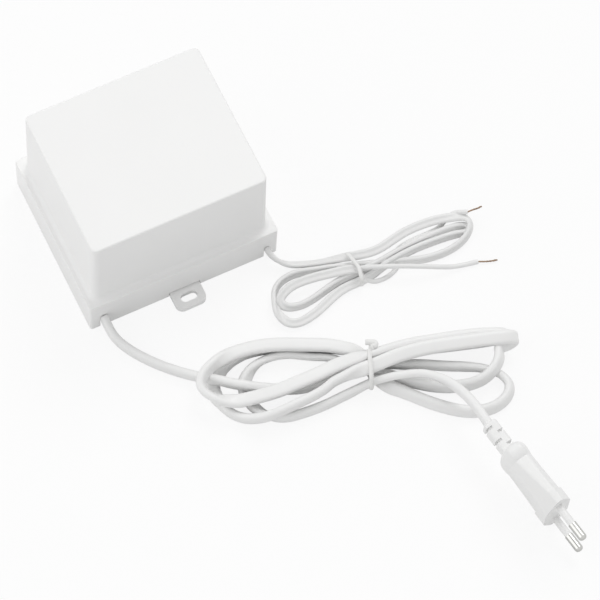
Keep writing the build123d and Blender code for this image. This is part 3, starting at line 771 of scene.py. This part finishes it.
@dataclass
class OutputLead:
    """Twin output lead, its hank, the two single cores at its end and their bare copper."""

    core: float = 0.0023
    strands: int = 5
    strand_radius: float = 0.00016
    strand_lay: float = 0.00023
    strand_turns: float = 2.2
    strand_fray: float = 0.5
    leaving: tuple[Point, ...] = (
        (0.0422, -0.0423, 0.0073), (0.0426, -0.0460, 0.0069),
    )
    to_tie: tuple[Point, ...] = (
        (0.0450, -0.0495, 0.0046), (0.0494, -0.0524, 0.0024), (0.0552, -0.0546, 0.0020),
        (0.0616, -0.0569, 0.0021), (0.0682, -0.0587, 0.0028),
    )
    right_outer: tuple[Point, ...] = (
        (0.0735, -0.0603, 0.0045), (0.0787, -0.0626, 0.0060), (0.0863, -0.0642, 0.0062),
        (0.0920, -0.0639, 0.0062), (0.0981, -0.0626, 0.0062), (0.1051, -0.0613, 0.0062),
        (0.1132, -0.0612, 0.0062), (0.1214, -0.0620, 0.0062), (0.1284, -0.0638, 0.0062),
    )
    right_return: tuple[Point, ...] = (
        (0.1337, -0.0660, 0.0062), (0.1354, -0.0692, 0.0060), (0.1342, -0.0722, 0.0052),
        (0.1309, -0.0750, 0.0042), (0.1255, -0.0769, 0.0030), (0.1190, -0.0775, 0.0024),
        (0.1119, -0.0771, 0.0024), (0.1058, -0.0758, 0.0024), (0.0987, -0.0733, 0.0024),
        (0.0894, -0.0700, 0.0024),
    )
    left_outer: tuple[Point, ...] = (
        (0.0820, -0.0675, 0.0028), (0.0742, -0.0655, 0.0034), (0.0692, -0.0637, 0.0036),
        (0.0653, -0.0623, 0.0036), (0.0608, -0.0612, 0.0036), (0.0560, -0.0596, 0.0034),
        (0.0510, -0.0581, 0.0034), (0.0454, -0.0579, 0.0034), (0.0405, -0.0593, 0.0036),
        (0.0370, -0.0620, 0.0040), (0.0347, -0.0667, 0.0044), (0.0334, -0.0715, 0.0042),
    )
    left_under: tuple[Point, ...] = (
        (0.0340, -0.0756, 0.0034), (0.0361, -0.0789, 0.0026), (0.0394, -0.0806, 0.0024),
        (0.0439, -0.0808, 0.0024), (0.0501, -0.0796, 0.0024), (0.0571, -0.0770, 0.0024),
        (0.0640, -0.0745, 0.0024), (0.0697, -0.0737, 0.0023), (0.0765, -0.0739, 0.0023),
    )
    right_inner: tuple[Point, ...] = (
        (0.0830, -0.0732, 0.0024), (0.0880, -0.0720, 0.0028), (0.0940, -0.0712, 0.0040),
        (0.1010, -0.0706, 0.0042), (0.1080, -0.0702, 0.0038), (0.1150, -0.0702, 0.0030),
        (0.1220, -0.0705, 0.0026), (0.1278, -0.0713, 0.0026), (0.1318, -0.0725, 0.0027),
    )
    inner_return: tuple[Point, ...] = (
        (0.1338, -0.0712, 0.0030), (0.1326, -0.0690, 0.0033), (0.1282, -0.0680, 0.0036),
        (0.1211, -0.0676, 0.0038), (0.1129, -0.0675, 0.0038), (0.1046, -0.0677, 0.0038),
        (0.0960, -0.0684, 0.0036), (0.0870, -0.0694, 0.0034),
    )
    left_inner: tuple[Point, ...] = (
        (0.0780, -0.0698, 0.0034), (0.0695, -0.0696, 0.0030), (0.0644, -0.0700, 0.0026),
        (0.0580, -0.0714, 0.0024), (0.0515, -0.0729, 0.0024), (0.0455, -0.0735, 0.0024),
        (0.0404, -0.0724, 0.0026), (0.0374, -0.0704, 0.0034),
    )
    left_over: tuple[Point, ...] = (
        (0.0367, -0.0676, 0.0046), (0.0398, -0.0654, 0.0056), (0.0444, -0.0639, 0.0060),
        (0.0502, -0.0638, 0.0062), (0.0574, -0.0646, 0.0062), (0.0642, -0.0659, 0.0062),
        (0.0700, -0.0671, 0.0064), (0.0740, -0.0682, 0.0066), (0.0772, -0.0692, 0.0066),
    )
    lower_core: tuple[Point, ...] = (
        (0.0750, -0.0688, 0.0070), (0.0774, -0.0696, 0.0073), (0.0806, -0.0706, 0.0073),
        (0.0878, -0.0734, 0.0071), (0.0956, -0.0769, 0.0072), (0.1034, -0.0804, 0.0066),
        (0.1108, -0.0832, 0.0046), (0.1176, -0.0854, 0.0024), (0.1242, -0.0866, 0.0013),
        (0.1306, -0.0877, 0.0012),
    )
    upper_core: tuple[Point, ...] = (
        (0.0754, -0.0686, 0.0058), (0.0772, -0.0702, 0.0044), (0.0782, -0.0728, 0.0024),
        (0.0804, -0.0756, 0.0014), (0.0834, -0.0769, 0.0012), (0.0876, -0.0770, 0.0012),
        (0.0920, -0.0760, 0.0012), (0.0958, -0.0738, 0.0012), (0.0970, -0.0708, 0.0012),
        (0.0966, -0.0678, 0.0012), (0.0996, -0.0660, 0.0024), (0.1054, -0.0656, 0.0036),
        (0.1139, -0.0656, 0.0034), (0.1200, -0.0650, 0.0022), (0.1242, -0.0634, 0.0015),
        (0.1270, -0.0619, 0.0026), (0.1302, -0.0620, 0.0056), (0.1334, -0.0638, 0.0074),
        (0.1361, -0.0652, 0.0076),
    )
    lower_tip: tuple[Point, ...] = (
        (0.1306, -0.0877, 0.0012), (0.1336, -0.0890, 0.0010), (0.1366, -0.0900, 0.0008),
        (0.1394, -0.0906, 0.0008),
    )
    upper_tip: tuple[Point, ...] = (
        (0.1361, -0.0652, 0.0076), (0.1386, -0.0651, 0.0076), (0.1411, -0.0654, 0.0073),
        (0.1435, -0.0652, 0.0072),
    )

    def build(self) -> None:
        """Build the twin lead, then each single core with its bare end."""
        route = Route("output_cord", (
            Stretch(Lay.EDGE, self.leaving), Stretch(Lay.LEAN, self.to_tie),
            Stretch(Lay.EASED, self.right_outer), Stretch(Lay.STEEP, self.right_return),
            Stretch(Lay.STEEP, self.left_outer), Stretch(Lay.EASED, self.left_under),
            Stretch(Lay.TIPPED, self.right_inner), Stretch(Lay.STEEP, self.inner_return),
            Stretch(Lay.STEEP, self.left_inner), Stretch(Lay.EASED, self.left_over),
        ), steps=4)
        line = route.line()
        rings = sweep_section(line, route.widths(line), twin_section(self.core))
        twin = new_piece("output_cord", *loft(rings), TWIN_WHITE)
        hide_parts("output_lead", "output_hank")
        length = round(route.length(line), 3)
        log.info("output lead is %.3f m long", length)
        self._single("lower", self.lower_core, self.lower_tip)
        self._single("upper", self.upper_core, self.upper_tip)

    def _single(self, place: str, points: tuple[Point, ...], tip: tuple[Point, ...]) -> None:
        """Build one single core and the twisted copper at its end.

        Args:
            place: lower or upper, as in the node's name.
            points: the core's route.
            tip: the copper's route.
        """
        copper = self._twisted_end(place, tip)
        route = Route(f"{place}_core", (Stretch(Lay.FLAT, points),), steps=4)
        line = route.line()
        rings = sweep_section(line, route.widths(line), round_section(self.core / 2))
        piece = new_piece(f"{place}_core", *loft(rings), TWIN_WHITE)
        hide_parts(f"{place}_core_end")
        length = round(route.length(line), 3)
        log.info("%s core is %.3f m long", place, length)

    def _twisted_end(self, place: str, points: tuple[Point, ...]) -> bpy.types.Object:
        """Twist a few copper strands about the line of a bare end; every other one frays outwards.

        Args:
            place: lower or upper, as in the node's name.
            points: the end's route.

        Returns:
            The piece.
        """
        route = Route(f"{place}_copper", (Stretch(Lay.FLAT, points),), steps=14)
        line = route.line()
        widths = route.widths(line)
        last = len(line) - 1
        section = round_section(self.strand_radius, 6)
        all_points: list[Vector] = []
        all_faces: list[list[int]] = []
        for strand in range(self.strands):
            middles = []
            for k, middle in enumerate(line):
                share = k / last
                turn = 2 * math.pi * (strand / self.strands + self.strand_turns * share)
                ahead = (line[min(k + 1, last)] - line[max(k - 1, 0)]).normalized()
                outwards = widths[k] * math.cos(turn) + ahead.cross(widths[k]) * math.sin(turn)
                spread = self.strand_lay * (1.0 + self.strand_fray * share * (strand % 2))
                middles.append(middle + outwards * spread)
            strand_points, strand_faces = loft(sweep_section(middles, widths, section))
            start = len(all_points)
            all_points += strand_points
            all_faces += [[start + i for i in face] for face in strand_faces]
        piece = new_piece(f"{place}_copper_end", all_points, all_faces, STRAND_COPPER)
        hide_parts(f"{place}_conductor_tip")
        return piece


@dataclass
class TieStrap:
    """A strap wrapped once round a hank, in an upright plane; its end may be curled to a head.

    The wrap is a rounded box of half_span by half_height. It starts at an angle of start degrees,
    and slants sideways by skew over its first slant share. The sizes of the head are shares of the
    strap's thickness, apart from head and head_shift, which are lengths along the hank.
    """

    node: str
    middle: Point
    heading: float
    half_span: float
    half_height: float
    thickness: float = 0.0013
    width: float = 0.0022
    skew: float = 0.0
    slant: float = 0.2
    share: float = 1.0
    start: float = 38.0
    squareness: float = 3.2
    wrap_steps: int = 72
    head: float = 0.0
    head_shift: float = 0.00051
    head_rise: float = 0.7
    curl: float = 0.46
    curl_stretch: float = 1.4
    swell: float = 0.28
    rise_steps: int = 4
    curl_steps: int = 14
    end_steps: int = 5

    def _wrap(self, across: Vector, along: Vector) -> list[Vector]:
        """Lead the strap once round the bundle, from the far edge of the top over to the front.

        Args:
            across: the level direction across the hank.
            along: the level direction along the hank.

        Returns:
            The line's points.
        """
        line = []
        for k in range(self.wrap_steps + 1):
            turn = math.radians(self.start) + 2 * math.pi * self.share * k / self.wrap_steps
            c, s = math.cos(turn), math.sin(turn)
            reach = (abs(c) ** self.squareness + abs(s) ** self.squareness) ** (-1.0 / self.squareness)
            slant = max(0.0, 1.0 - k / (self.slant * self.wrap_steps))
            height = self.half_height * s * reach - self.thickness * slant / 2
            level = across * (self.half_span * c * reach) + along * (self.skew * slant)
            line.append(Vector(self.middle) + level + UP * height)
        return line

    def _curl(self, start: Vector, across: Vector, along: Vector) -> list[Vector]:
        """Lead the strap's end out of the wrap and back over itself.

        Args:
            start: where the wrap ends.
            across: the level direction across the hank.
            along: the level direction along the hank.

        Returns:
            The line's points.
        """
        radius = self.thickness * self.curl
        out = along * self.head_shift + across * (self.thickness * self.head_rise)
        line = [start + out * (k / self.rise_steps) for k in range(1, self.rise_steps + 1)]
        for k in range(1, self.curl_steps + 1):
            turn = math.pi * k / self.curl_steps
            forward = along * (math.sin(turn) * radius * self.curl_stretch)
            line.append(start + out + forward + across * ((1.0 - math.cos(turn)) * radius))
        tip = line[-1]
        line += [tip - along * (self.head * k / self.end_steps) for k in range(1, self.end_steps + 1)]
        return line

    def build(self) -> bpy.types.Object:
        """Carry the strap's section along its wrap and its head.

        Returns:
            The piece.
        """
        turn = math.radians(self.heading)
        across = Vector((math.cos(turn), math.sin(turn), 0.0))
        along = Vector((across.y, -across.x, 0.0))
        line = self._wrap(across, along)
        widths = [along] * len(line)
        swells = [1.0] * len(line)
        curl = self._curl(line[-1], across, along) if self.head else []
        for k in range(1, len(curl) + 1):
            share = min(1.0, k / self.rise_steps)
            widths.append((along * (1.0 - share) + UP * share).normalized())
            swells.append(1.0 + self.swell * share)
        line += curl
        rings = sweep_section(line, widths, slot_section(self.width, self.thickness, 5))
        rings = [[middle + (point - middle) * swell for point in ring]
                 for middle, swell, ring in zip(line, swells, rings)]
        piece = new_piece(self.node + "_strap", *loft(rings), TIE_WHITE)
        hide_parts(self.node)
        return piece


MAINS_TIE = TieStrap("mains_tie", (0.0597, -0.1172, 0.0086), 65.0, 0.0093, 0.0075, thickness=0.0021,
                     skew=-0.0012, slant=0.35, head=0.0034, start=55.0)
OUTPUT_TIE = TieStrap("output_tie", (0.0769, -0.0682, 0.0049), 79.0, 0.0083, 0.0044, thickness=0.0011,
                      width=0.002, skew=-0.0034, share=0.86)


# Carried-over solids


@dataclass
class Dressing:
    """The finishes of the solids that are shown as they are."""

    finishes: dict[str, Finish] = field(default_factory=lambda: {
        "housing": HOUSING_WHITE, "base_plate": HOUSING_WHITE, "base_screws": ZINC,
        "core_e_stack": CORE_STEEL, "core_i_stack": CORE_STEEL, "bobbin": BOBBIN_NYLON,
        "primary_winding": COIL_COPPER, "secondary_winding": COIL_COPPER,
        "primary_tape": COIL_TAPE, "secondary_tape": COIL_TAPE,
        "core_clamp": ZINC, "clamp_bolts": ZINC, "clamp_nuts": ZINC, "winding_tags": TINNED,
        "thermal_fuse": FUSE_CAN, "mains_lead_inner": SHEATH_WHITE, "output_lead_inner": TWIN_WHITE,
        "line_wire": BROWN_WIRE, "neutral_wire": BLUE_WIRE, "output_wire_a": TWIN_WHITE,
        "output_wire_b": TWIN_WHITE, "mains_cord_grip": GRIP_WHITE, "output_cord_grip": GRIP_WHITE,
        "grip_screws": ZINC, "plug_body": PLUG_WHITE, "pin_sleeves": PLUG_WHITE, "plug_pins": PIN_NICKEL,
        "plug_relief": PLUG_WHITE,
    })

    def apply(self, nodes: dict[str, bpy.types.Object]) -> None:
        """Put each solid's finish in its material slots.

        Args:
            nodes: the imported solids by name.
        """
        for name, finish in self.finishes.items():
            solid = nodes[name]
            solid.data.materials.clear()
            solid.data.materials.append(finish.material())
            log.info("%s keeps its solid, in %s", name, finish.name)


# Studio


@dataclass
class Studio:
    """Camera, lamps, floor and background."""

    azimuth: float = -30.248
    elevation: float = 65.851
    roll: float = 4.771
    distance: float = 1.69321
    target: Point = (0.046589, -0.069666, 0.0)
    lens: float = 217.87
    lamp_list: tuple[tuple[str, Point, float, float], ...] = (
        ("key", (0.45, 0.4, 0.8), 0.8, 30.0), ("fill", (-0.75, 0.2, 0.55), 0.58, 60.0),
    )
    sky_strength: float = 0.64
    floor_size: float = 12.0
    floor_grey: float = 0.9
    floor_white: float = 0.86
    floor_drop: float = 0.0001

    def camera(self) -> None:
        """Stand the camera where the photograph was taken from."""
        turn, lift, roll = (math.radians(a) for a in (self.azimuth, self.elevation, self.roll))
        back = Vector((math.sin(turn) * math.cos(lift), -math.cos(turn) * math.cos(lift), math.sin(lift)))
        level = (-back).cross(UP).normalized()
        over = level.cross(-back)
        right = level * math.cos(roll) + over * math.sin(roll)
        up = over * math.cos(roll) - level * math.sin(roll)
        place = Vector(self.target) + back * self.distance
        data = bpy.data.cameras.new("camera")
        data.lens = self.lens
        data.sensor_width = 36.0
        data.clip_end = 50.0
        camera = bpy.data.objects.new("camera", data)
        facing = Matrix((right, up, back)).transposed().to_4x4()
        camera.matrix_world = Matrix.Translation(place) @ facing
        bpy.context.scene.collection.objects.link(camera)
        bpy.context.scene.camera = camera

    def lamps(self) -> None:
        """A broad lamp from behind on the right, and a weaker one from the left."""
        for name, source, strength, spread in self.lamp_list:
            data = bpy.data.lights.new(name, "SUN")
            data.energy = strength
            data.angle = math.radians(spread)
            lamp = bpy.data.objects.new(name, data)
            lamp.rotation_euler = Vector(source).to_track_quat("Z", "Y").to_euler()
            bpy.context.scene.collection.objects.link(lamp)

    def sky(self) -> None:
        """An even sky that lights at a plain level and looks white."""
        world = bpy.data.worlds.new("sky")
        bpy.context.scene.world = world
        world.use_nodes = True
        sheet = NodeSheet(world.node_tree)
        rays = sheet.node("ShaderNodeLightPath")
        camera, glossy, through = (Shade(sheet, rays.outputs[f"Is {kind} Ray"])
                                   for kind in ("Camera", "Glossy", "Transmission"))
        seen = (camera + glossy + through).clamped()
        strength = self.sky_strength + (1.0 - self.sky_strength) * seen
        values = {"Color": (1.0, 1.0, 1.0, 1.0), "Strength": strength}
        background = sheet.node("ShaderNodeBackground", None, values)
        sheet.node("ShaderNodeOutputWorld", None, {"Surface": background.outputs[0]})

    def floor(self) -> None:
        """A pale floor that keeps the shadows."""
        mesh = bpy.data.meshes.new("floor")
        work = bmesh.new()
        bmesh.ops.create_grid(work, x_segments=8, y_segments=8, size=self.floor_size / 2)
        work.to_mesh(mesh)
        work.free()
        material = bpy.data.materials.new("studio_floor")
        material.use_nodes = True
        sheet = NodeSheet(material.node_tree)
        grey = (self.floor_grey, self.floor_grey, self.floor_grey, 1.0)
        paper = sheet.node("ShaderNodeBsdfDiffuse", None, {"Color": grey})
        white = sheet.node("ShaderNodeEmission", None, {"Color": (1.0, 1.0, 1.0, 1.0), "Strength": 1.0})
        rays = sheet.node("ShaderNodeLightPath")
        share = Shade(sheet, rays.outputs["Is Camera Ray"]) * self.floor_white
        values = {0: share, 1: paper.outputs[0], 2: white.outputs[0]}
        mix = sheet.node("ShaderNodeMixShader", None, values)
        sheet.node("ShaderNodeOutputMaterial", None, {"Surface": mix.outputs[0]})
        mesh.materials.append(material)
        floor = bpy.data.objects.new("floor", mesh)
        floor.location.z = -self.floor_drop
        bpy.context.scene.collection.objects.link(floor)

    def build(self) -> None:
        """Set up the whole studio."""
        bpy.context.scene.view_settings.view_transform = "Standard"
        self.camera()
        self.lamps()
        self.sky()
        self.floor()


def main() -> None:
    """Build the scene."""
    logging.basicConfig(level=logging.INFO, format="%(name)s: %(message)s")
    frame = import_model()
    Studio().build()
    MAINS_TIE.build()
    OUTPUT_TIE.build()
    MainsLead().build()
    OutputLead().build()
    Dressing().apply(frame["nodes"])


if __name__ == "__main__":
    main()
